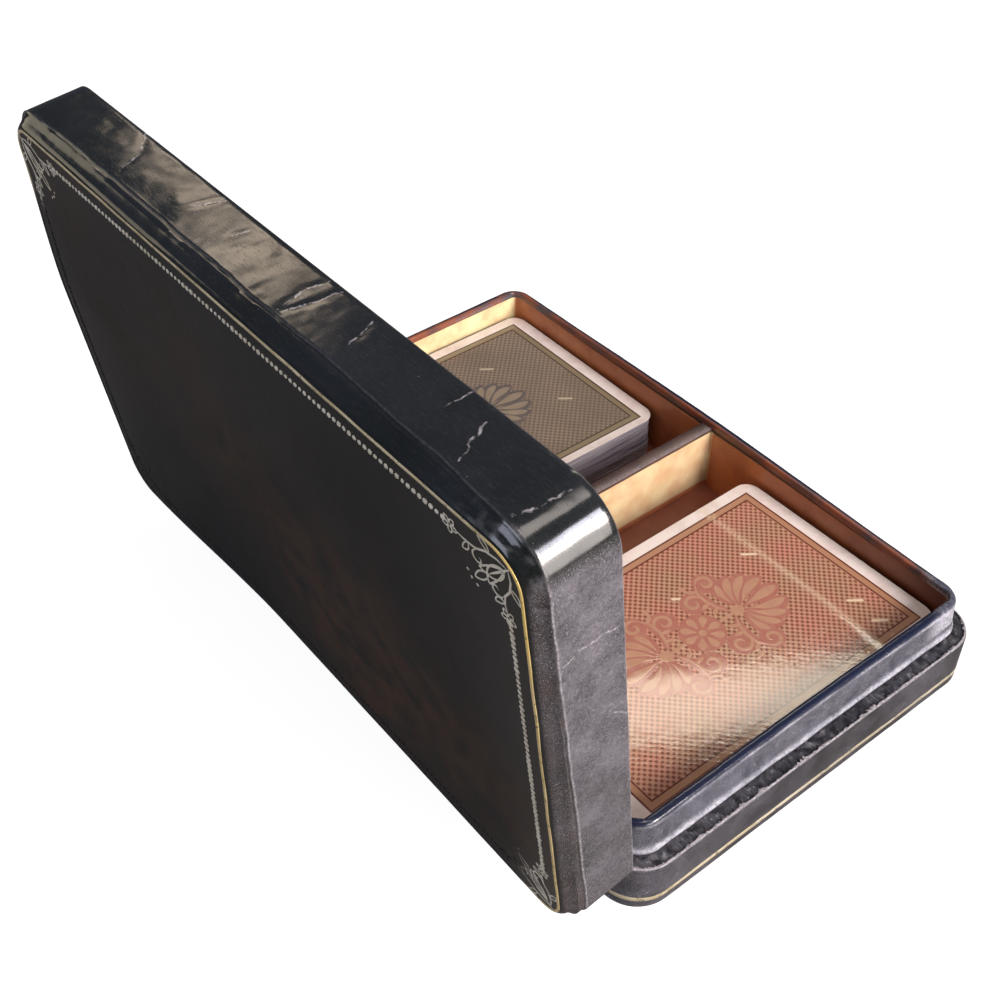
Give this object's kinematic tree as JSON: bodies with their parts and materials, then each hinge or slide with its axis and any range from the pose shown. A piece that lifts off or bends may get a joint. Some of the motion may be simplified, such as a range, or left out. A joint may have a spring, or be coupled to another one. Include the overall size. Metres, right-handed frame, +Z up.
{
  "type": "playing card box",
  "caption": "Leather covered box for playing cards: shallow base with an inner tray of two wells, and a deep lid hinged along the back.",
  "frame": {"origin": "centre of the underside of the base, on the surface the box stands on", "axes": "+X along the box's long side, +Y from the hinge to the opening side, +Z up; the lid stands open at the hinge"},
  "size_m": [0.1642, 0.1316, 0.1166],
  "materials": {
    "lid_leather": "smooth black-blue leather, glossy, worn and scratched",
    "base_leather": "smooth dark blue leather, satin, scuffed",
    "tray_leather": "thin dark blue leather, rubbed grey",
    "hinge_leather": "thin flexible leather",
    "underside": "matte black leather cloth",
    "gilt": "blind-tooled gold leaf, partly rubbed",
    "well_paper": "tan and copper metallic paper, satin",
    "lid_paper": "tan and copper metallic paper, satin",
    "pasteboard": "raw grey-brown pasteboard",
    "card_edges": "cut card edges, slightly yellowed",
    "card_back_olive": "glazed card, olive grey lattice back with a white border",
    "card_back_rose": "glazed card, rose and gold lattice back with a white border"
  },
  "bodies": {
    "base": {"base_board": "pasteboard", "base_corner_back_left": "pasteboard", "base_corner_back_right": "pasteboard", "base_corner_front_left": "pasteboard", "base_corner_front_right": "pasteboard", "base_gilt_line": "gilt", "base_leather": "base_leather", "base_wall_back": "pasteboard", "base_wall_front": "pasteboard", "base_wall_left": "pasteboard", "base_wall_right": "pasteboard", "divider_board": "pasteboard", "divider_leather": "tray_leather", "floor_paper_left": "well_paper", "floor_paper_right": "well_paper", "hinge_leather_base": "hinge_leather", "tray_leather": "tray_leather", "tray_wall_back": "pasteboard", "tray_wall_front": "pasteboard", "tray_wall_left": "pasteboard", "tray_wall_right": "pasteboard", "underside_covering": "underside", "wall_paper_left": "well_paper", "wall_paper_right": "well_paper"},
    "lid": {"hinge_leather_lid": "hinge_leather", "lid_board": "pasteboard", "lid_ceiling_paper": "lid_paper", "lid_corner_back_left": "pasteboard", "lid_corner_back_right": "pasteboard", "lid_corner_front_left": "pasteboard", "lid_corner_front_right": "pasteboard", "lid_gilt_line": "gilt", "lid_leather": "lid_leather", "lid_wall_back": "pasteboard", "lid_wall_front": "pasteboard", "lid_wall_left": "pasteboard", "lid_wall_paper": "lid_paper", "lid_wall_right": "pasteboard"},
    "deck_left": {"deck_left": "card_edges", "top_card_left": "card_back_olive"},
    "deck_right": {"deck_right": "card_edges", "top_card_right": "card_back_rose"}
  },
  "joints": [
    {"name": "lid_hinge", "type": "hinge", "parent": "base", "child": "lid", "pos_m": [0, -0.05225, 0.0128], "axis": [-1, 0, 0], "range_deg": [0, 96.4]},
    {"name": "deck_left_lift", "type": "slide", "parent": "base", "child": "deck_left", "axis": [0, 0, 1], "range_m": [0, 0.009]},
    {"name": "deck_right_lift", "type": "slide", "parent": "base", "child": "deck_right", "axis": [0, 0, 1], "range_m": [0, 0.009]}
  ]
}
